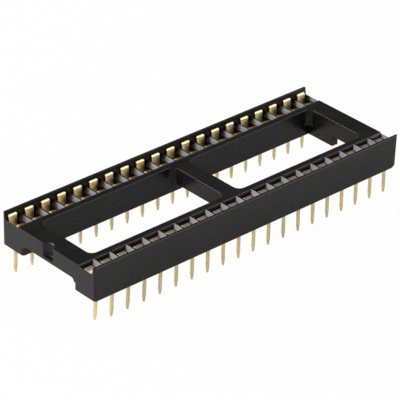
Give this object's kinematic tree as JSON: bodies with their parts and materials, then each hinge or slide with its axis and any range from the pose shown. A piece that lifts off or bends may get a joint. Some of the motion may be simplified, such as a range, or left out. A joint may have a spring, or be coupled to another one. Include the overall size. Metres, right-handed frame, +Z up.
{
  "type": "ic socket",
  "caption": "Dual-in-line socket: a black open ladder-shaped moulding with two rows of gold-plated dual-leaf contacts and flat pointed board tails.",
  "frame": {"origin": "middle of the tail grid, at the height of the tail tips", "axes": "+X along the two rows, away from the index notch; +Y across the rows; +Z up, out of the socket's open face"},
  "size_m": [0.0504, 0.0174, 0.0085],
  "materials": {
    "housing": "black moulded thermoplastic, fine satin skin, slightly brighter on broken edges",
    "contacts": "stamped and formed copper alloy strip with a thin pale gold plating, soft rolled sheen"
  },
  "bodies": {
    "root": {"housing": "housing", "contact_01": "contacts", "contact_02": "contacts", "contact_03": "contacts", "contact_04": "contacts", "contact_05": "contacts", "contact_06": "contacts", "contact_07": "contacts", "contact_08": "contacts", "contact_09": "contacts", "contact_10": "contacts", "contact_11": "contacts", "contact_12": "contacts", "contact_13": "contacts", "contact_14": "contacts", "contact_15": "contacts", "contact_16": "contacts", "contact_17": "contacts", "contact_18": "contacts", "contact_19": "contacts", "contact_20": "contacts", "contact_21": "contacts", "contact_22": "contacts", "contact_23": "contacts", "contact_24": "contacts", "contact_25": "contacts", "contact_26": "contacts", "contact_27": "contacts", "contact_28": "contacts", "contact_29": "contacts", "contact_30": "contacts", "contact_31": "contacts", "contact_32": "contacts", "contact_33": "contacts", "contact_34": "contacts", "contact_35": "contacts", "contact_36": "contacts", "contact_37": "contacts", "contact_38": "contacts", "contact_39": "contacts", "contact_40": "contacts"}
  },
  "joints": []
}
